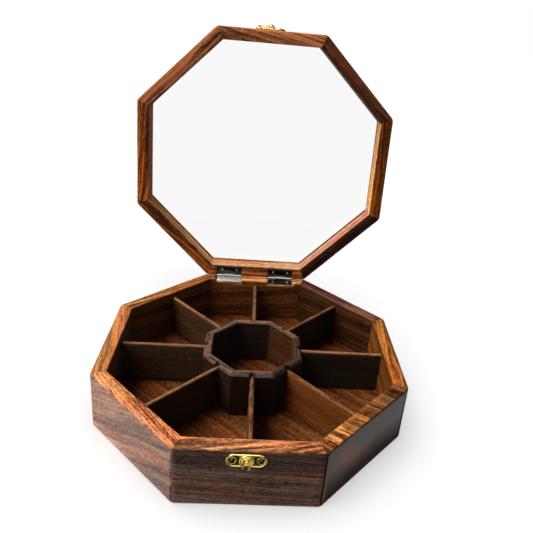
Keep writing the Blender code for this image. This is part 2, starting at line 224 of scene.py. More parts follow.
def stations(half):
    """Places along a board, closer near its rounded ends, from -1 to 1."""
    near = [0.0, 0.5, 1.0, 1.6, 2.3, 3.2, 5.0]
    count = math.ceil((half - near[-1]) / 4.0)
    rest = [near[-1] + (half - near[-1]) * k / count for k in range(1, count + 1)]
    left = [d / half - 1 for d in near + rest]
    return left + [-u for u in reversed(left[:-1])]


def tint_of(obj, weights, tints, calm=(1, 1, 1, 1)):
    """Stores each point's tint and grain strength, mixed by the way its face looks: out, in, up or down. The tints
    are painted light and shade by facing.
    """
    attribute = obj.data.attributes.new("tint", "FLOAT_COLOR", "POINT")
    shades = np.array(tints)
    values = [[*(np.array(w) @ shades), float(np.dot(w, calm[: len(w)]))] for w in weights]
    attribute.data.foreach_set("color", np.array(values, np.float32).ravel())


def tint_corners(obj, tint=None):
    """Keeps tints by face corner, so that a cutter's own tint stays on the faces it leaves behind."""
    mesh = obj.data
    points = [item.color[:] for item in mesh.attributes["tint"].data] if tint is None else None
    colours = [(*tint, 0.5) if tint else points[loop.vertex_index] for loop in mesh.loops]
    if tint is None:
        mesh.attributes.remove(mesh.attributes["tint"])
    attribute = mesh.attributes.new("tint", "FLOAT_COLOR", "CORNER")
    attribute.data.foreach_set("color", np.array(colours, np.float32).ravel())


def facing(normal):
    """How far a section's normal looks out, in, up and down."""
    parts = [max(normal.x, 0) ** 2, max(-normal.x, 0) ** 2, max(normal.y, 0) ** 2, max(-normal.y, 0) ** 2]
    return [part / sum(parts) for part in parts]


def spotted_and_shaded(obj, spots_and_shade):
    """Deepens or lightens the tint round each spot, some of them painted shade."""
    tint = obj.data.attributes["tint"].data
    places = [vertex.co / MM for vertex in obj.data.vertices]
    for centre, reach, change in spots_and_shade:
        for place, held in zip(places, tint):
            away = sum(((p - c) / r) ** 2 for p, c, r in zip(place, centre, reach))
            share = math.exp(-away)
            shade = [old * (1 + share * (new - 1)) for old, new in zip(held.color, change)]
            held.color = (*shade, held.color[3])


def mitred_board(name, axes, section, edges, seed, tints, calm, corner=CORNER, ripple=RIPPLE):
    """A side of an octagonal frame, its outer corners rounded and its faces slightly uneven."""
    outline = divided(rounded(section), CELL)
    outward = normals(outline)
    outer = max(y for y, _ in outline)
    inner = min(y for y, _ in outline)
    bend = (outer - corner) * SLOPE
    loops = []
    for u in stations(outer * SLOPE):
        loop = []
        for (y, z), normal in zip(outline, outward):
            x = u * (y * SLOPE - MITRE)
            past = min(max(abs(x) - bend, 0.0), corner)
            share = (y - inner) / (outer - inner)
            y_new = y - share * (corner - math.sqrt(corner**2 - past**2))
            uneven = noise.noise((x / 34 + seed, y / 13, z / 13 + seed)) * 0.5 + 0.5
            sink = ripple * uneven * (1 - abs(u) ** 6)
            y_new -= normal.x * sink
            limit = y_new * SLOPE - MITRE
            loop.append((max(-limit, min(limit, x)), y_new, z - normal.y * sink))
        loops.append(loop)
    obj = skin(name, loops, axes)
    wear_of(obj, edges)
    tint_of(obj, [facing(normal) for normal in outward] * len(loops), tints, calm)
    return obj


def finish(obj, body, slot, material, *nodes):
    """Gives a piece its material, its body and the CAD nodes it stands for."""
    obj.data.materials.clear()
    obj.data.materials.append(material)
    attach(obj, body)
    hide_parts(*nodes)
    if slot in FITTINGS:
        FITTINGS[slot].append(obj)
    return obj


# ---------------------------------------------------------------- materials


def add(tree, kind, wires=None, **settings):
    """A node with its properties set, and its inputs set or wired."""
    made = tree.nodes.new(kind)
    for key, value in settings.items():
        setattr(made, key, value)
    for key, value in (wires or {}).items():
        if isinstance(value, bpy.types.NodeSocket):
            tree.links.new(value, made.inputs[key])
        else:
            made.inputs[key].default_value = value
    return made


def math_of(tree, operation, *values):
    return add(
        tree, "ShaderNodeMath", dict(enumerate(values)), operation=operation
    ).outputs[0]


def vector_of(tree, operation, *values):
    return add(
        tree, "ShaderNodeVectorMath", dict(enumerate(values)), operation=operation
    ).outputs[0]


def noise_of(tree, vector, stretch, detail=2.0, rough=0.55):
    scaled = vector_of(tree, "MULTIPLY", vector, stretch)
    wires = {"Vector": scaled, "Scale": 1.0, "Detail": detail, "Roughness": rough}
    return add(tree, "ShaderNodeTexNoise", wires)


def spread(tree, value, low, high, smooth=True):
    """The value stretched so that low becomes 0 and high becomes 1, held between them."""
    made = add(
        tree,
        "ShaderNodeMapRange",
        {"Value": value, "From Min": low, "From Max": high},
        interpolation_type="SMOOTHSTEP" if smooth else "LINEAR",
    )
    return made.outputs["Result"]


def mixed(tree, factor, a, b, blend="MIX"):
    made = add(
        tree,
        "ShaderNodeMix",
        {0: factor, 6: a, 7: b},
        data_type="RGBA",
        blend_type=blend,
    )
    return made.outputs[2]


def make_rosewood_group():
    """Grain along local x: growth bands round a far pith, fibres, pores, figure and worn edges."""
    tree = bpy.data.node_groups.new("rosewood", "ShaderNodeTree")
    for name, kind in (
        ("Pith", "NodeSocketVector"),
        ("Lean", "NodeSocketVector"),
        ("Wave", "NodeSocketVector"),
        ("Dark", "NodeSocketColor"),
        ("Mid", "NodeSocketColor"),
        ("Light", "NodeSocketColor"),
        ("Contrast", "NodeSocketFloat"),
        ("Figure", "NodeSocketFloat"),
        ("Wear", "NodeSocketFloat"),
        ("Polish", "NodeSocketFloat"),
    ):
        tree.interface.new_socket(name, in_out="INPUT", socket_type=kind)
    for name, kind in (
        ("Color", "NodeSocketColor"),
        ("Roughness", "NodeSocketFloat"),
        ("Height", "NodeSocketFloat"),
    ):
        tree.interface.new_socket(name, in_out="OUTPUT", socket_type=kind)
    given = tree.nodes.new("NodeGroupInput").outputs
    place = add(tree, "ShaderNodeTexCoord").outputs["Object"]
    metres = vector_of(tree, "MULTIPLY", place, (1000, 1000, 1000))
    wires = {"Vector": metres, "Location": given["Pith"], "Rotation": given["Lean"]}
    here = add(tree, "ShaderNodeMapping", wires).outputs[0]
    drift = noise_of(tree, here, (0.007, 0.03, 0.03), 2.0).outputs["Color"]
    drift = vector_of(tree, "MULTIPLY", vector_of(tree, "SUBTRACT", drift, (0.5, 0.5, 0.5)), given["Wave"])
    bent = vector_of(tree, "ADD", here, drift)
    flat = vector_of(tree, "MULTIPLY", bent, (0.015, 1, 1))
    radius = add(tree, "ShaderNodeVectorMath", {0: flat}, operation="LENGTH").outputs["Value"]

    def rings(scale, detail):
        w = math_of(tree, "MULTIPLY", radius, scale)
        wires = {"W": w, "Scale": 1.0, "Detail": detail, "Roughness": 0.6}
        return add(tree, "ShaderNodeTexNoise", wires, noise_dimensions="1D").outputs[0]

    band = rings(0.13, 2.0)
    line = rings(0.5, 3.0)
    split = add(tree, "ShaderNodeSeparateXYZ", {0: bent}).outputs
    arc = math_of(tree, "MULTIPLY", math_of(tree, "ARCTAN2", split["Z"], split["Y"]), 90.0)
    polar = add(tree, "ShaderNodeCombineXYZ", {"X": split["X"], "Y": radius, "Z": arc}).outputs[0]
    streak = noise_of(tree, polar, (0.004, 0.52, 0.10), 4.0, 0.6).outputs[0]
    fibre = noise_of(tree, polar, (0.02, 1.5, 0.5), 3.0, 0.65).outputs[0]
    speck = noise_of(tree, here, (0.3, 0.9, 0.9), 2.0, 0.6).outputs[0]
    patch = noise_of(tree, here, (0.014, 0.045, 0.045), 2.0).outputs[0]
    figure = noise_of(tree, bent, (0.11, 0.035, 0.035), 3.0, 0.6).outputs[0]
    pore = noise_of(tree, bent, (0.13, 3.4, 3.4), 1.0, 0.5).outputs[0]
    pores = spread(tree, pore, 0.6, 0.72)
    parts = ((band, 1.5), (line, 1.4), (streak, 2.6), (fibre, 1.4), (patch, 1.2))
    tone = 0.0
    for part, weight in parts:
        tone = math_of(tree, "MULTIPLY_ADD", math_of(tree, "SUBTRACT", part, 0.5), weight, tone)
    tint = add(tree, "ShaderNodeAttribute", attribute_name="tint").outputs
    marks = math_of(tree, "MULTIPLY", math_of(tree, "SUBTRACT", figure, 0.5), given["Figure"])
    marks = math_of(tree, "MULTIPLY_ADD", tone, given["Contrast"], marks)
    grit = math_of(tree, "MULTIPLY_ADD", speck, 1.7, math_of(tree, "SUBTRACT", fibre, 1.35))
    share = math_of(tree, "MULTIPLY_ADD", tint["Alpha"], 0.4, 0.6)
    tone = math_of(tree, "MULTIPLY_ADD", marks, tint["Alpha"], math_of(tree, "MULTIPLY_ADD", grit, share, 0.5))
    colour = mixed(tree, spread(tree, tone, 0.05, 0.5), given["Dark"], given["Mid"])
    colour = mixed(tree, spread(tree, tone, 0.5, 0.95), colour, given["Light"])
    hue = spread(tree, noise_of(tree, bent, (0.01, 0.11, 0.11), 2.0).outputs[0], 0.35, 0.65)
    hue = mixed(tree, hue, (1.1, 0.87, 0.8, 1), (0.95, 1.07, 1.05, 1))
    colour = mixed(tree, 1.0, colour, hue, "MULTIPLY")
    apart = math_of(tree, "ABSOLUTE", math_of(tree, "SUBTRACT", rings(0.2, 1.0), 0.5))
    vein = math_of(tree, "MULTIPLY", spread(tree, apart, 0.03, 0.006), spread(tree, patch, 0.42, 0.6))
    vein = math_of(tree, "MULTIPLY", vein, math_of(tree, "MULTIPLY", tint["Alpha"], 0.7))
    colour = mixed(tree, vein, colour, given["Dark"])
    colour = mixed(tree, math_of(tree, "MULTIPLY", pores, 0.5), colour, (0.012, 0.006, 0.004, 1))
    edge = add(tree, "ShaderNodeAttribute", attribute_name="wear").outputs["Fac"]
    rub = noise_of(tree, here, (0.09, 0.4, 0.4), 4.0, 0.7).outputs[0]
    worn = math_of(tree, "MULTIPLY", edge, spread(tree, rub, 0.4, 0.62))
    worn = math_of(tree, "MULTIPLY", worn, given["Wear"])
    colour = mixed(tree, worn, colour, given["Light"])
    # The tint brings in painted light and shade by facing, painted shade in grooves, and darker or lighter spots.
    colour = mixed(tree, 1.0, colour, tint["Color"], "MULTIPLY")
    haze = noise_of(tree, here, (0.03, 0.06, 0.06), 3.0).outputs[0]
    rough = math_of(tree, "ADD", given["Polish"], math_of(tree, "MULTIPLY", fibre, 0.12))
    rough = math_of(tree, "ADD", rough, math_of(tree, "MULTIPLY", haze, 0.1))
    rough = math_of(tree, "ADD", rough, math_of(tree, "MULTIPLY", pores, 0.2))
    height = math_of(tree, "MULTIPLY", fibre, 0.35)
    height = math_of(tree, "ADD", height, math_of(tree, "MULTIPLY", band, 0.5))
    height = math_of(tree, "SUBTRACT", height, math_of(tree, "MULTIPLY", pores, 0.6))
    last = tree.nodes.new("NodeGroupOutput")
    tree.links.new(colour, last.inputs["Color"])
    tree.links.new(rough, last.inputs["Roughness"])
    tree.links.new(height, last.inputs["Height"])
    return tree


def wood(name, mean, seed, lean=(0, 0, 0), contrast=1.0, figure=0.0, wear=0.5, polish=0.3, pith=None, wave=10, sheen=(0, 0.3, 0.18)):
    """One board's own rosewood of the given mean colour, cut from its own place in the log."""
    draw = random.Random(seed)
    pith = (draw.uniform(100, 900), *(pith or (draw.uniform(-75, -40), draw.uniform(30, 70))))
    red, green, blue = mean
    material = bpy.data.materials.new(name)
    material.use_nodes = True
    tree = material.node_tree
    shader = tree.nodes["Principled BSDF"]
    wires = {
        "Pith": pith,
        "Lean": [math.radians(a) for a in lean],
        "Wave": (0, wave, wave),
        "Dark": (0.18 * red, 0.13 * green, 0.13 * blue, 1),
        "Mid": (0.90 * red, 0.85 * green, 0.78 * blue, 1),
        "Light": (1.85 * red, 2.10 * green, 2.4 * blue, 1),
        "Contrast": contrast,
        "Figure": figure,
        "Wear": wear,
        "Polish": polish,
    }
    grain = tree.nodes.new("ShaderNodeGroup")
    grain.node_tree = ROSEWOOD
    for key, value in wires.items():
        grain.inputs[key].default_value = value
    wires = {"Height": grain.outputs["Height"], "Distance": RELIEF, "Strength": 0.6}
    bump = add(tree, "ShaderNodeBump", wires)
    tree.links.new(grain.outputs["Color"], shader.inputs["Base Color"])
    tree.links.new(grain.outputs["Roughness"], shader.inputs["Roughness"])
    tree.links.new(bump.outputs["Normal"], shader.inputs["Normal"])
    shader.inputs["Coat Weight"].default_value = sheen[0]
    if sheen[0]:
        normal = add(tree, "ShaderNodeTexCoord").outputs["Normal"]
        outward = add(tree, "ShaderNodeSeparateXYZ", {0: normal}).outputs["Y"]
        flat = spread(tree, outward, 0.97, 0.995)
        tree.links.new(math_of(tree, "MULTIPLY", flat, sheen[0]), shader.inputs["Coat Weight"])
    shader.inputs["Coat Roughness"].default_value = sheen[1]
    shader.inputs["Specular IOR Level"].default_value = sheen[2]
    return material


def metal(name, bright, tarnish_and_shade, rough, scratch=0.12, amount=0.5, scale=0.5, sunk=None):
    """Metal with fine scratches, tarnished patches and, below a level in its sunk faces, painted shade in the same
    dull colour.
    """
    material = bpy.data.materials.new(name)
    material.use_nodes = True
    tree = material.node_tree
    shader = tree.nodes["Principled BSDF"]
    place = add(tree, "ShaderNodeTexCoord").outputs["Object"]
    here = vector_of(tree, "MULTIPLY", place, (1000, 1000, 1000))
    patch = noise_of(tree, here, (scale, scale, scale), 4.0, 0.65).outputs[0]
    lines = noise_of(tree, here, (0.3, 4.0, 0.3), 2.0, 0.6).outputs[0]
    cross = noise_of(tree, here, (3.5, 0.3, 0.3), 2.0, 0.6).outputs[0]
    tarnish_and_shade_mask = math_of(tree, "MULTIPLY", spread(tree, patch, 0.45, 0.68), amount)
    # Painted shade: below the sunk level the face takes the dull colour.
    if sunk:
        height = add(tree, "ShaderNodeSeparateXYZ", {0: here}).outputs["Z"]
        height = math_of(tree, "MULTIPLY_ADD", math_of(tree, "SUBTRACT", patch, 0.5), 0.4, height)
        tarnish_and_shade_mask = math_of(tree, "MAXIMUM", tarnish_and_shade_mask, spread(tree, height, sunk[1], sunk[0]))
    tree.links.new(mixed(tree, tarnish_and_shade_mask, (*bright, 1), (*tarnish_and_shade, 1)), shader.inputs["Base Color"])
    marks = math_of(tree, "ADD", math_of(tree, "MULTIPLY", lines, scratch), rough - scratch / 2)
    marks = math_of(tree, "ADD", marks, math_of(tree, "MULTIPLY", tarnish_and_shade_mask, 0.08))
    tree.links.new(marks, shader.inputs["Roughness"])
    height = math_of(tree, "ADD", lines, math_of(tree, "MULTIPLY", cross, 0.6))
    height = math_of(tree, "ADD", height, math_of(tree, "MULTIPLY", patch, 2.0))
    bump = add(tree, "ShaderNodeBump", {"Height": height, "Distance": 0.000006, "Strength": 0.4})
    tree.links.new(bump.outputs["Normal"], shader.inputs["Normal"])
    shader.inputs["Metallic"].default_value = 1.0
    return material


ROSEWOOD = make_rosewood_group()

# Each wall's mean colour on its rim, outside and inside, then its seed, the lean of its grain
# in degrees about (x, y, z), the contrast of its bands and the strength of its cross figure.
# The outside and inside colours are the rim's wood darkened or lightened by facing: painted shade and light.
WALLS = {
    "right": ((0.275, 0.086, 0.014), (0.100, 0.036, 0.014), (0.143, 0.043, 0.007), 11, (0, 0, 4), 1.0, 0.3),
    "back_right": ((0.130, 0.042, 0.022), (0.100, 0.036, 0.014), (0.048, 0.017, 0.004), 12, (0, 3, -3), 1.0, 0.3),
    "back": ((0.500, 0.220, 0.090), (0.100, 0.036, 0.014), (0.168, 0.057, 0.012), 13, (0, 9, 3), 0.9, 0.5),
    "back_left": ((0.309, 0.116, 0.030), (0.100, 0.036, 0.014), (0.069, 0.025, 0.008), 14, (0, -4, 3), 1.0, 0.3),
    "left": ((0.353, 0.124, 0.035), (0.140, 0.055, 0.022), (0.045, 0.017, 0.007), 15, (0, 3, -4), 0.9, 0.3),
    "front_left": ((0.552, 0.184, 0.064), (0.230, 0.094, 0.047), (0.100, 0.040, 0.015), 16, (0, -22, 0), 0.8, 0.0),
    "front": ((0.599, 0.228, 0.081), (0.162, 0.091, 0.067), (0.100, 0.040, 0.015), 17, (0, 1, -8), 1.0, 0.2),
    "front_right": ((0.383, 0.150, 0.040), (0.019, 0.009, 0.006), (0.100, 0.040, 0.015), 18, (0, 0, 76), 1.3, 0.9),
}
# Each lid rail's mean colour on its face towards the box and on its inner edge, then the same.
# The inner edges' colours are painted light and shade, lighter or darker by which way each edge faces.
RAILS = {
    "right": ((0.232, 0.061, 0.004), (0.893, 0.433, 0.160), 21, (0, 0, 3), 1.0, 0.3),
    "back_right": ((0.050, 0.015, 0.007), (0.500, 0.200, 0.110), 22, (0, 0, -3), 0.9, 0.3),
    "back": ((0.348, 0.113, 0.029), (0.720, 0.360, 0.180), 23, (0, 0, 2), 0.7, 0.3),
    "back_left": ((0.306, 0.083, 0.012), (0.950, 0.430, 0.170), 24, (0, 0, 5), 1.1, 0.3),
    "left": ((0.412, 0.101, 0.012), (0.270, 0.110, 0.055), 25, (0, 0, -5), 1.2, 0.4),
    "front_left": ((0.361, 0.122, 0.040), (0.120, 0.030, 0.012), 26, (0, 0, 4), 1.1, 0.3),
    "front": ((0.481, 0.153, 0.052), (0.120, 0.055, 0.030), 27, (0, 0, -12), 1.0, 0.4),
    "front_right": ((0.148, 0.043, 0.016), (0.200, 0.130, 0.080), 28, (0, 0, 3), 0.9, 0.3),
}
# Where the centre of a board's rings lies from the box's middle, across and above it.
PITH = {"front_left": (80, 14), "front": (-60, 200)}
# How far the grain of a wall wanders, in millimetres.
WAVE = {"front_left": 1.5, "front": 2}
# How much of its grain's strength a wall's outside shows.
CALM = {"front_right": 0.1, "front_left": 0.8, "front": 0.5}
# Finish of the outer walls: strength and roughness of the clear coat, then the bare wood's gloss.
SHEEN = {"front_left": (0.5, 0.35, 0.18), "front_right": (1.0, 0.03, 0.0)}
# How uneven an outer wall is where that differs from the rest, in millimetres.
FLATNESS = {"front_right": 0.03}
# Darker and lighter spots, some of them painted shade: centre and reach in a board's own millimetres, then the change
# of colour.
SPOTS_AND_SHADE = {
    "back": [((0, 119, 50), (17, 14, 6), (1.35, 1.3, 1.1))],
    "front_right": [
        ((-30, 119, 50), (24, 14, 6), (0.2, 0.18, 0.24)),
        ((30, 125, 33), (11, 6, 9), (4.0, 2.0, 1.4)),
        ((12, 125, 24), (14, 6, 7), (3.6, 1.9, 1.3)),
    ],
    "front_left": [((34, 125, 2), (34, 6, 9), (1.7, 1.7, 1.6))],
    "front": [
        ((-34, 115, 49), (15, 4, 5), (0.45, 0.4, 0.4)),
        # Painted shade: a dark band along the top of the front's outside, under the rim's edge.
        ((0, 127, 44), (200, 4, 12), (0.3, 0.3, 0.32)),
    ],
}
STEEL = metal("dark_nickel", (0.30, 0.29, 0.27), (0.2, 0.19, 0.18), 0.14, 0.04, 0.4, 0.2)
# The hinge leaves' steel, darkened below their barrels' steel: painted shade.
PAINTED_SHADE_STEEL = metal("nickel_painted_shade", (0.06, 0.055, 0.05), (0.03, 0.027, 0.025), 0.24, 0.1, 0.8, 0.6)
# The left fixed leaf's steel, lightened: painted reflection.
PAINTED_REFLECTION_STEEL = metal("nickel_painted_reflection", (0.60, 0.58, 0.54), (0.42, 0.40, 0.37), 0.6, 0.08, 0.5, 0.2)
NAIL_STEEL = metal("nail_steel", (0.42, 0.40, 0.37), (0.07, 0.06, 0.05), 0.3, 0.2, 0.7, 0.9)
SCREW_STEEL = metal("screw_steel", (0.10, 0.085, 0.06), (0.02, 0.016, 0.012), 0.34, 0.2, 0.8, 0.9)
BRASS = metal("brass", (0.95, 0.74, 0.26), (0.50, 0.32, 0.06), 0.12, 0.06, 0.5, 0.45)
# The pressed plates get painted shade in their sunk faces, full below 0.8 mm and gone by 1.15 mm.
PRESSED_BRASS = metal("pressed_brass", (0.95, 0.74, 0.22), (0.40, 0.25, 0.04), 0.12, 0.06, 0.4, 0.45, (0.8, 1.15))
FLOOR = (0.148, 0.045, 0.009)
DIVIDER_TOP = (0.190, 0.078, 0.030)
# Each divider's colour on its broad faces: painted shade and light, set by which way the faces look.
DIVIDER_FACE_SHADE = {
    "right": (0.023, 0.018, 0.009),
    "back_right": (0.009, 0.005, 0.003),
    "back": (0.030, 0.013, 0.006),
    "back_left": (0.055, 0.022, 0.007),
    "left": (0.065, 0.033, 0.015),
    "front_left": (0.022, 0.011, 0.006),
    "front": (0.110, 0.040, 0.012),
    "front_right": (0.140, 0.041, 0.006),
}
# The groove's darkening is painted shade in the slot where a divider's end sits.
GROOVE_SHADE = (0.10, 0.08, 0.08)  # how much of its colour the inside of a divider's groove keeps
# Each cup stave's colour on its rim, inside and outside.
# The insides and outsides are painted shade and light, darker or lighter than the rims by facing.
STAVES = {
    "right": ((0.032, 0.018, 0.010), (0.055, 0.022, 0.008), (0.023, 0.011, 0.005)),
    "back_right": ((0.112, 0.059, 0.033), (0.068, 0.021, 0.004), (0.020, 0.009, 0.005)),
    "back": ((0.182, 0.082, 0.054), (0.027, 0.015, 0.009), (0.020, 0.009, 0.005)),
    "back_left": ((0.085, 0.050, 0.036), (0.010, 0.006, 0.004), (0.020, 0.009, 0.005)),
    "left": ((0.117, 0.061, 0.037), (0.010, 0.006, 0.003), (0.037, 0.016, 0.007)),
    "front_left": ((0.121, 0.065, 0.044), (0.050, 0.018, 0.006), (0.025, 0.010, 0.004)),
    "front": ((0.113, 0.075, 0.053), (0.050, 0.018, 0.006), (0.020, 0.008, 0.003)),
    "front_right": ((0.036, 0.017, 0.010), (0.050, 0.018, 0.006), (0.011, 0.006, 0.003)),
}


def ratio(colour, mean):
    return [a / b for a, b in zip(colour, mean)]


# ---------------------------------------------------------------- box


def build_walls():
    for side, azimuth in SIDES.items():
        axes = turned(azimuth)
        (_, inner, low), (_, outer, top) = extent(f"wall_{side}", axes)
        _, (_, panel, panel_top) = extent("bottom_panel", axes)
        ledge = panel_top + 0.1
        section = [
            (outer, low, 1.0),
            (outer, top, 1.5),
            (inner, top, 1.1),
            (inner, ledge, 0.0),
            (panel + 0.15, ledge, 0.0),
            (panel + 0.15, low, 0.0),
        ]
        edges = [(outer, top), (inner, top), (outer, low)]
        rim, outside, inside, seed, lean, contrast, figure = WALLS[side]
        # Painted shade and light: the outside and inside are tinted by facing, relative to the rim.
        tints = [ratio(outside, rim), ratio(inside, rim), (1, 1, 1), ratio(outside, rim)]
        calm = (CALM.get(side, 0.5), 0.5, 1.0, 1.0)
        ripple = FLATNESS.get(side, RIPPLE)
        wall = mitred_board(f"shell_{side}", axes, section, edges, seed, tints, calm, ripple=ripple)
        # Darker and lighter spots, and on the front painted shade along the top of its outside.
        spotted_and_shaded(wall, SPOTS_AND_SHADE.get(side, []))
        if side == "back":
            cutters = []
            for hand in ("left", "right"):
                (x0, _, _), (x1, _, _) = extent(f"hinge_{hand}_fixed_leaf", axes)
                cutters.append(block(axes, (x0 - 0.25, inner - 2, mortise_floor()), (x1 + 0.25, outer + 2, top + 2)))
            cut(wall, cutters)
        finish_of = {"pith": PITH.get(side), "wave": WAVE.get(side, 10), "sheen": SHEEN.get(side, (0, 0.3, 0.18))}
        material = wood(f"wall_{side}", rim, seed, lean, contrast, figure, **finish_of)
        finish(wall, "box", "wall_wood", material, f"wall_{side}")


def mortise_floor():
    """Level of the sunk bed of the hinges, just under the fixed leaves' plates."""
    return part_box("hinge_left_fixed_leaf")[0].z / MM - 0.25


def build_floor():
    low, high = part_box("bottom_panel")
    half = high.x / MM + 0.1
    radius = half / math.cos(math.pi / 8)
    loops = []
    for z, inset in ((low.z / MM, 0.4), (low.z / MM + 0.4, 0.0), (high.z / MM, 0.0)):
        loops.append(
            [
                ((radius - inset) * math.cos(a), (radius - inset) * math.sin(a), z)
                for a in (math.pi / 8 + math.pi / 4 * k for k in range(8))
            ]
        )
    floor = skin("floor_panel", loops, Matrix.Identity(4))
    tint_of(floor, [(1,)] * len(floor.data.vertices), [(1, 1, 1)])
    material = wood("floor", FLOOR, 31, (0, 0, 40), contrast=0.4, pith=(260, 60), wave=6)
    finish(floor, "box", "floor_wood", material, "bottom_panel")


def build_dividers():
    for k, (side, azimuth) in enumerate(SIDES.items()):
        axes = Matrix.Rotation(math.radians(azimuth), 4, "Z")
        (x0, y0, z0), (x1, y1, z1) = extent(f"divider_{side}", axes)
        section = [(y0, z0, 0.2), (y1, z0, 0.2), (y1, z1, 1.6), (y0, z1, 1.6)]
        outline = divided(rounded(section, 5), CELL)
        outward = normals(outline)
        count = math.ceil((x1 - x0) / 3.5)
        loops = []
        for i in range(count + 1):
            x = x0 + (x1 - x0) * i / count
            loop = []
            for (y, z), normal in zip(outline, outward):
                uneven = noise.noise((x / 21, y / 6 + 7 * k, z / 11)) * 0.5 + 0.5
                loop.append((x, y - normal.x * 0.12 * uneven, z - normal.y * 0.25 * uneven))
            loops.append(loop)
        board = skin(f"divider_board_{side}", loops, axes)
        wear_of(board, [(y0 / 2, z1), (y1 / 2, z1)], 2.4)
        # Painted shade and light on the divider's broad faces; the top keeps its own colour.
        face = ratio(DIVIDER_FACE_SHADE[side], DIVIDER_TOP)
        weights = [facing(normal) for normal in outward] * len(loops)
        tint_of(board, weights, [face, face, (1, 1, 1), face], (0.25, 0.25, 1.0, 1.0))
        material = wood(f"divider_{side}", DIVIDER_TOP, 41 + k, contrast=0.7, polish=0.5)
        finish(board, f"divider_{side}", "divider_wood", material, f"divider_{side}")


def build_cup():
    for k, (side, azimuth) in enumerate(SIDES.items()):
        axes = turned(azimuth)
        (_, inner, low), (_, outer, top) = extent(f"cup_{side}", axes)
        section = [
            (outer, low, 0.0),
            (outer, top - 1.9, 0.5),
            (outer - 1.9, top, 0.5),
            (inner + 1.0, top, 0.4),
            (inner, top - 1.0, 0.4),
            (inner, low, 0.0),
        ]
        edges = [(outer, top - 1.9), (outer - 1.9, top), (inner + 0.5, top - 0.5)]
        rim, inside, outside = STAVES[side]
        # Painted shade and light: inside and outside tinted by facing, relative to the rim.
        tints = [ratio(outside, rim), ratio(inside, rim), (1, 1, 1), ratio(outside, rim)]
        stave = mitred_board(f"stave_{side}", axes, section, edges, 51 + k, tints, (0.5, 0.5, 1.0, 1.0), 1.2, 0.12)
        (slot_x0, slot_y0, _), _ = extent(f"divider_{side}", axes)
        half = -slot_x0 + 0.3
        groove = block(axes, (-half, slot_y0 - 0.3, low - 2), (half, outer + 2, top + 2))
        # Painted shade inside the groove.
        tint_corners(groove, GROOVE_SHADE)
        tint_corners(stave)
        cut(stave, [groove])
        material = wood(f"cup_{side}", rim, 51 + k, contrast=0.6, polish=0.5)
        finish(stave, "cup", "cup_wood", material, f"cup_{side}")


def build_lid():
    for side, azimuth in SIDES.items():
        axes = LID @ turned(azimuth)
        (_, inner, low), (_, outer, top) = extent(f"lid_rail_{side}", axes)
        (_, _, pane_low), (_, pane, pane_top) = extent("lid_glass", axes)
        section = [
            (outer, low, 1.2),
            (outer, top, 1.8),
            (inner, top, 0.9),
            (inner, pane_top + 0.15, 0.0),
            (pane + 0.3, pane_top + 0.15, 0.0),
            (pane + 0.3, pane_low - 0.15, 0.0),
            (inner, pane_low - 0.15, 0.0),
            (inner, low, 1.0),
        ]
        edges = [(outer, low), (inner, low), (outer, top), (inner, top)]
        face, inside, seed, lean, contrast, figure = RAILS[side]
        # Painted light and shade on the rail's inner edge, by which way it faces.
        tints = [(1, 1, 1), ratio(inside, face), (1, 1, 1), (1, 1, 1)]
        rail = mitred_board(f"rail_{side}", axes, section, edges, seed, tints, (0.7, 0.35, 1.0, 1.0))
        if side == "back":
            cutters = []
            for hand in ("left", "right"):
                (x0, y0, z0), (x1, _, _) = extent(f"hinge_{hand}_moving_leaf", axes)
                cutters.append(block(axes, (x0 - 0.25, y0 - 0.25, low - 2), (x1 + 0.25, outer + 2, low + 0.95)))
            cut(rail, cutters)
        material = wood(f"rail_{side}", face, seed, lean, contrast, figure)
        finish(rail, "lid", "lid_wood", material, f"lid_rail_{side}")


# ---------------------------------------------------------------- fittings


def arc_profile(radius, height, base, steps=6):
    """Rings of a dome from its rim up to a small flat."""
    angles = [math.radians(84 * k / steps) for k in range(steps + 1)]
    return [(radius * math.cos(a), base + height * math.sin(a)) for a in angles]


def lathe(name, profile, axes, count=40):
    loops = []
    for radius, z in profile:
        turns = [math.tau * k / count for k in range(count)]
        loops.append([(radius * math.cos(a), radius * math.sin(a), z) for a in turns])
    return skin(name, loops, axes)


def strip(left, right, half, radius):
    """The outline of a flat strip with round corners, in local x and y."""
    corners = [(left, -half, radius), (right, -half, radius), (right, half, radius), (left, half, radius)]
    return rounded(corners, 9)


def pillow(name, low, high, bottom, top, radius, bevel, axes):
    """A flat bar with round corners in plan and softened edges."""
    (x0, y0), (x1, y1) = low, high
    middle = (y0 + y1) / 2

    def outline(inset):
        half = (y1 - y0) / 2 - inset
        points = strip(x0 + inset, x1 - inset, half, radius)
        return [(x, y + middle) for x, y in points]

    levels = ((bevel, bottom), (0, bottom + bevel), (0, top - bevel), (bevel, top))
    return skin(name, [[(x, y, z) for x, y in outline(i)] for i, z in levels], axes)


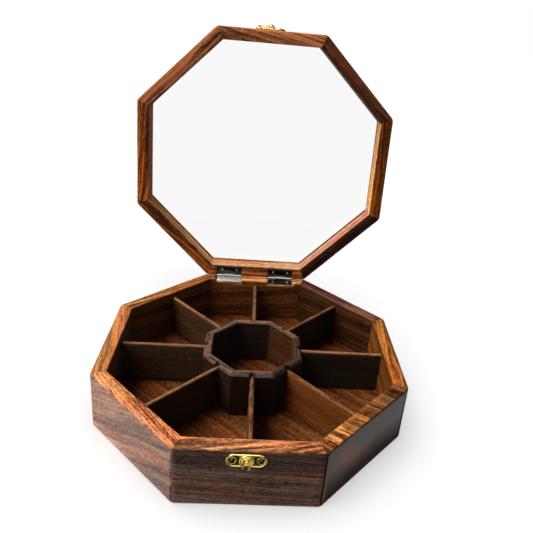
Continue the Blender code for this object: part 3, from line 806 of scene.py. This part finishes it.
def build_hinges():
    hinge = next(j for j in frame["joints"] if j["name"] == "lid_hinge")
    line = Vector(hinge["pos_m"]) / MM
    for hand in ("left", "right"):
        for kind, axes, body in (("fixed", Matrix.Identity(4), "box"), ("moving", LID, "lid")):
            node = f"hinge_{hand}_{kind}_leaf"
            (x0, y0, z0), (x1, y1, z1) = extent(node, axes)
            radius = y1 - line.y
            left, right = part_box(f"hinge_{hand}_fixed_leaf")
            left, right = left.x / MM, right.x / MM
            quarter = (right - left) / 4
            if kind == "fixed":
                spans = [(left, left + quarter - KNUCKLE_GAP), (right - quarter + KNUCKLE_GAP, right)]
                bottom = z0
            else:
                spans = [(left + quarter + KNUCKLE_GAP, right - quarter - KNUCKLE_GAP)]
                bottom = z1 - SHEET
            near = line.y - radius - 0.25
            leaf = pillow(f"{node}_plate", (left, y0), (right, near), bottom, bottom + SHEET, 0.5, 0.12, axes)
            parts = []
            for a, b in spans:
                tab = pillow("tab", (a + 0.06, near - 1.2), (b - 0.06, line.y), bottom + 0.04, bottom + SHEET - 0.04, 0.1, 0.05, axes)
                along = axes @ Matrix.Translation(Vector((0, line.y, line.z)) * MM) @ Matrix.Rotation(math.pi / 2, 4, "Y")
                profile = [(radius - 0.15, a), (radius, a + 0.15), (radius, b - 0.15), (radius - 0.15, b)]
                parts += [tab, lathe("knuckle", profile, along, 36)]
            barrel = parts.pop()
            cut(barrel, parts, "UNION")
            smooth_again(barrel)
            barrel.name = f"{node}_barrel"
            # The leaves are the barrels' sheet: the left fixed one gets painted reflection, the others painted shade.
            finish(leaf, body, "hinge_steel", PAINTED_REFLECTION_STEEL if (hand, kind) == ("left", "fixed") else PAINTED_SHADE_STEEL, node)
            finish(barrel, body, "hinge_steel", STEEL, node)


def smooth_again(obj, angle=35):
    obj.data.shade_smooth()
    obj.data.set_sharp_from_angle(angle=math.radians(angle))


def build_plate(name, axes, body):
    """A pressed plate: a raised rim, a sunk face, a ridged boss and a ring round each screw."""
    low, high = extent(name, axes)
    half_x, half_y = (high[0] - low[0]) / 2, (high[1] - low[1]) / 2
    levels = ((0.25, 0.15), (0.0, 0.4), (0.0, 0.75), (0.15, 1.1), (0.45, 1.33), (0.8, 1.39))
    levels += ((1.15, 1.32), (1.4, 1.15), (1.7, 1.02), (2.4, 0.88), (3.2, 0.78), (4.0, 0.72))
    loops = []
    for inset, z in levels:
        outline = strip(inset - half_x, half_x - inset, half_y - inset, half_y - inset - 0.05)
        loops.append([(x, y, z) for x, y in outline])
    plate = skin(f"{name}_pressing", loops, axes)
    boss = [(5.2, 0.3), (5.2, 1.5), (5.05, 1.9), (4.65, 2.15), (4.25, 2.1), (3.95, 1.8), (3.6, 1.72)]
    boss += [(3.3, 1.95), (2.95, 2.18), (2.55, 2.1), (2.2, 1.8), (1.6, 1.72)]
    parts = [lathe("boss", boss, axes, 56)]
    for x in (-SCREW_SPREAD, SCREW_SPREAD):
        ring = [(3.15, 0.6), (3.15, 0.95), (2.95, 1.13), (2.65, 1.15), (2.35, 1.0), (2.1, 0.85)]
        parts.append(lathe("ring", ring, axes @ Matrix.Translation((x * MM, 0, 0)), 40))
    cut(plate, parts, "UNION")
    smooth_again(plate)
    finish(plate, body, "latch_brass", PRESSED_BRASS, name)


def build_fasteners():
    """Domed nails in the hinges, slotted screws in the latch plates."""
    for name in frame["nodes"]:
        if "nail" not in name and "screw" not in name:
            continue
        lid = "moving" in name or name.startswith("latch")
        body = "lid" if lid else "box"
        base = LID if lid else Matrix.Identity(4)
        low, high = extent(name, base)
        centre = (low + high) / 2
        if "screw" in name:
            turn = Matrix.Rotation(math.pi / 2, 4, "X")
            centre[1] = high[1]
        elif lid:
            turn = Matrix.Rotation(math.pi, 4, "X")
            centre[2] = high[2]
        else:
            turn = Matrix.Identity(4)
            centre[2] = low[2]
        axes = base @ Matrix.Translation(Vector(centre) * MM) @ turn
        (_, _, _), (radius, _, top) = extent(name, axes)
        dome = 0.65 if "nail" in name else 0.72
        profile = [(0.25, 0.0), (0.45, 0.8), (0.45, top - dome)]
        profile += arc_profile(radius, dome, top - dome)
        head = lathe(f"{name}_turned", profile, axes, 28)
        if "screw" in name:
            draw = random.Random(name)
            slot = axes @ Matrix.Rotation(draw.uniform(0.3, 1.3), 4, "Z")
            cut(head, [block(slot, (-3, -0.28, top - 0.45), (3, 0.28, top + 1))])
            smooth_again(head)
            finish(head, body, "screw_steel", SCREW_STEEL, name)
        else:
            finish(head, body, "nail_steel", NAIL_STEEL, name)


def build_latch():
    turn = Matrix.Rotation(math.pi / 2, 4, "X")
    for name, base, body in (("catch", Matrix.Identity(4), "box"), ("latch", LID, "lid")):
        low, high = extent(f"{name}_plate", base)
        wood_low, _ = extent("wall_front" if name == "catch" else "lid_rail_front", base)
        spot = Vector(((low[0] + high[0]) / 2, wood_low[1], (low[2] + high[2]) / 2)) * MM
        axes = base @ Matrix.Translation(spot) @ turn
        build_plate(f"{name}_plate", axes, body)
        post = "catch_stud" if name == "catch" else "latch_rivet"
        (_, _, tail), (widest, _, top) = extent(post, axes)
        if name == "catch":
            profile = [(0.9, tail), (1.1, tail + 0.4), (1.1, 2.35), (1.7, 2.35), (1.5, 3.2), (1.65, top - 1.3)]
            profile += [(2.2, top - 1.15), (widest - 0.1, top - 0.8), (widest, top - 0.6), (widest, top - 0.25)]
            profile += [(widest - 0.25, top), (2.3, top - 0.02), (1.9, top - 0.2), (0.5, top - 0.25)]
        else:
            profile = [(0.9, tail), (1.1, tail + 0.4), (1.1, top - 1.45)] + arc_profile(widest, 1.45, top - 1.45)
        finish(lathe(f"{post}_turned", profile, axes), body, "latch_brass", BRASS, post)
    arm = frame["nodes"]["latch_arm"]
    bevel = arm.modifiers.new("softened", "BEVEL")
    bevel.width = 0.2 * MM
    bevel.segments = 2
    bevel.limit_method = "ANGLE"
    bevel.angle_limit = math.radians(40)


def dress_cad_nodes():
    """Finishes for the CAD pieces whose shape is already right."""
    for name, material in (
        ("latch_arm", BRASS),
        ("hinge_left_pin", STEEL),
        ("hinge_right_pin", STEEL),
        ("lid_glass", glass()),
    ):
        obj = frame["nodes"][name]
        for slot in obj.material_slots:
            slot.material = material
        if material is BRASS:
            FITTINGS["latch_brass"].append(obj)


def glass():
    """Clear pane with the faintest haze of wiping."""
    material = bpy.data.materials.new("clear_glass")
    material.use_nodes = True
    tree = material.node_tree
    shader = tree.nodes["Principled BSDF"]
    place = add(tree, "ShaderNodeTexCoord").outputs["Object"]
    here = vector_of(tree, "MULTIPLY", place, (1000, 1000, 1000))
    smear = noise_of(tree, here, (0.02, 0.05, 0.03), 4.0, 0.6).outputs[0]
    rough = math_of(tree, "MULTIPLY", spread(tree, smear, 0.5, 0.75), 0.03)
    tree.links.new(rough, shader.inputs["Roughness"])
    tint = mixed(tree, smear, (0.99, 1.0, 0.995, 1), (1.0, 1.0, 1.0, 1))
    tree.links.new(tint, shader.inputs["Base Color"])
    shader.inputs["Transmission Weight"].default_value = 1.0
    shader.inputs["IOR"].default_value = 1.45
    shader.inputs["Specular IOR Level"].default_value = 0.15
    clear = add(tree, "ShaderNodeBsdfTransparent")
    rays = add(tree, "ShaderNodeLightPath").outputs
    lamps = {0: rays["Is Shadow Ray"], 1: shader.outputs[0], 2: clear.outputs[0]}
    tree.links.new(add(tree, "ShaderNodeMixShader", lamps).outputs[0], tree.nodes["Material Output"].inputs[0])
    return material


# ---------------------------------------------------------------- stage


def build_stage():
    """A pale floor. It lights and mirrors nothing, so the boards keep their deep tones."""
    bm = bmesh.new()
    bmesh.ops.create_circle(bm, cap_ends=True, segments=96, radius=FLOOR_RADIUS)
    mesh = bpy.data.meshes.new("studio_floor")
    bm.to_mesh(mesh)
    bm.free()
    floor = bpy.data.objects.new("studio_floor", mesh)
    floor.location.z = cad_bounds[0].z - FLOOR_DROP
    floor.visible_diffuse = False
    floor.visible_glossy = False
    floor.visible_transmission = False
    floor.visible_shadow = False
    bpy.context.scene.collection.objects.link(floor)
    material = bpy.data.materials.new("studio_floor")
    material.use_nodes = True
    shader = material.node_tree.nodes["Principled BSDF"]
    shader.inputs["Base Color"].default_value = (0.86, 0.86, 0.86, 1)
    shader.inputs["Roughness"].default_value = 0.9
    shader.inputs["Specular IOR Level"].default_value = 0.0
    mesh.materials.append(material)
    return floor


def sun(name, direction, strength, width, only=(), never=()):
    """A wide soft light for some pieces only, or for all but some."""
    data = bpy.data.lights.new(name, "SUN")
    data.energy = strength
    data.angle = math.radians(width)
    light = bpy.data.objects.new(name, data)
    bpy.context.scene.collection.objects.link(light)
    light.rotation_euler = Vector(direction).to_track_quat("Z", "Y").to_euler()
    receivers = bpy.data.collections.new(name)
    for obj in (*only, *never):
        receivers.objects.link(obj)
    for held in receivers.collection_objects:
        held.light_linking.link_state = "INCLUDE" if only else "EXCLUDE"
    light.light_linking.receiver_collection = receivers
    return data


def build_light(floor):
    brasses = FITTINGS["latch_brass"]
    steels = FITTINGS["hinge_steel"] + FITTINGS["nail_steel"] + FITTINGS["screw_steel"]
    sun("key", (-0.70, -0.03, 0.92), 4.1, 42, never=[floor])
    sun("floor_light", (-0.15, -0.1, 1.0), 0.9, 75, only=[floor])
    sun("floor_fill", (0.0, 0.0, 1.0), 2.2, 75, only=[floor]).use_shadow = False
    sun("brass_sky", (-0.1, -0.75, 0.66), 2.1, 110, only=brasses)
    sun("brass_back", (0.0, 1.0, 0.1), 0.6, 60, only=brasses)
    sun("brass_table", (0.0, 0.5, -0.87), 0.7, 48, only=brasses)
    sun("brass_glint", (0.0, -0.5, 0.87), 0.5, 14, only=brasses)
    sun("brass_side", (-0.94, 0.34, 0.05), 0.6, 50, only=brasses)
    sun("steel_sky", (0.0, -0.35, 0.94), 2.8, 64, only=steels)
    sun("steel_back", (-0.05, 0.87, 0.5), 0.45, 50, only=steels)
    world = bpy.data.worlds.new("studio")
    world.use_nodes = True
    bpy.context.scene.world = world
    tree = world.node_tree
    way = add(tree, "ShaderNodeTexCoord").outputs["Generated"]
    axes = add(tree, "ShaderNodeSeparateXYZ", {0: way}).outputs
    left = spread(tree, axes["X"], 0.0, -0.8)
    right = spread(tree, axes["X"], 0.2, 0.9)
    below = spread(tree, axes["Z"], 0.05, -0.25)
    fill = math_of(tree, "MULTIPLY_ADD", left, 0.72, 0.10)
    height = math_of(tree, "MULTIPLY_ADD", axes["Y"], -0.76, axes["Z"])
    low = math_of(tree, "MULTIPLY", right, spread(tree, height, -0.854, -0.828))
    cards = math_of(tree, "MULTIPLY_ADD", left, 0.95, math_of(tree, "MULTIPLY_ADD", low, 0.44, 0.008))
    cards = math_of(tree, "MULTIPLY_ADD", cards, below, 0.03)
    rays = add(tree, "ShaderNodeLightPath").outputs
    level = add(tree, "ShaderNodeMix", {0: rays["Glossy Depth"], 2: 1.0, 3: cards}).outputs[0]
    level = add(tree, "ShaderNodeMix", {0: rays["Diffuse Depth"], 2: level, 3: fill}).outputs[0]
    sky = tree.nodes["Background"]
    sky.inputs["Color"].default_value = (1, 1, 1, 1)
    tree.links.new(level, sky.inputs["Strength"])


def build_camera():
    data = bpy.data.cameras.new("camera")
    data.sensor_width = 36.0
    data.lens = 38.02
    data.shift_x = -0.04306
    data.shift_y = -0.06366
    data.clip_start = 0.01
    camera = bpy.data.objects.new("camera", data)
    bpy.context.scene.collection.objects.link(camera)
    camera.location = Vector((-10.69, -410.91, 329.57)) * MM
    camera.rotation_euler = [math.radians(a) for a in (66.95, -5.03, -2.39)]
    bpy.context.scene.camera = camera


build_camera()
build_walls()
build_floor()
build_dividers()
build_cup()
build_lid()
build_hinges()
build_latch()
build_fasteners()
dress_cad_nodes()
build_light(build_stage())
bpy.context.scene.view_settings.view_transform = "Standard"
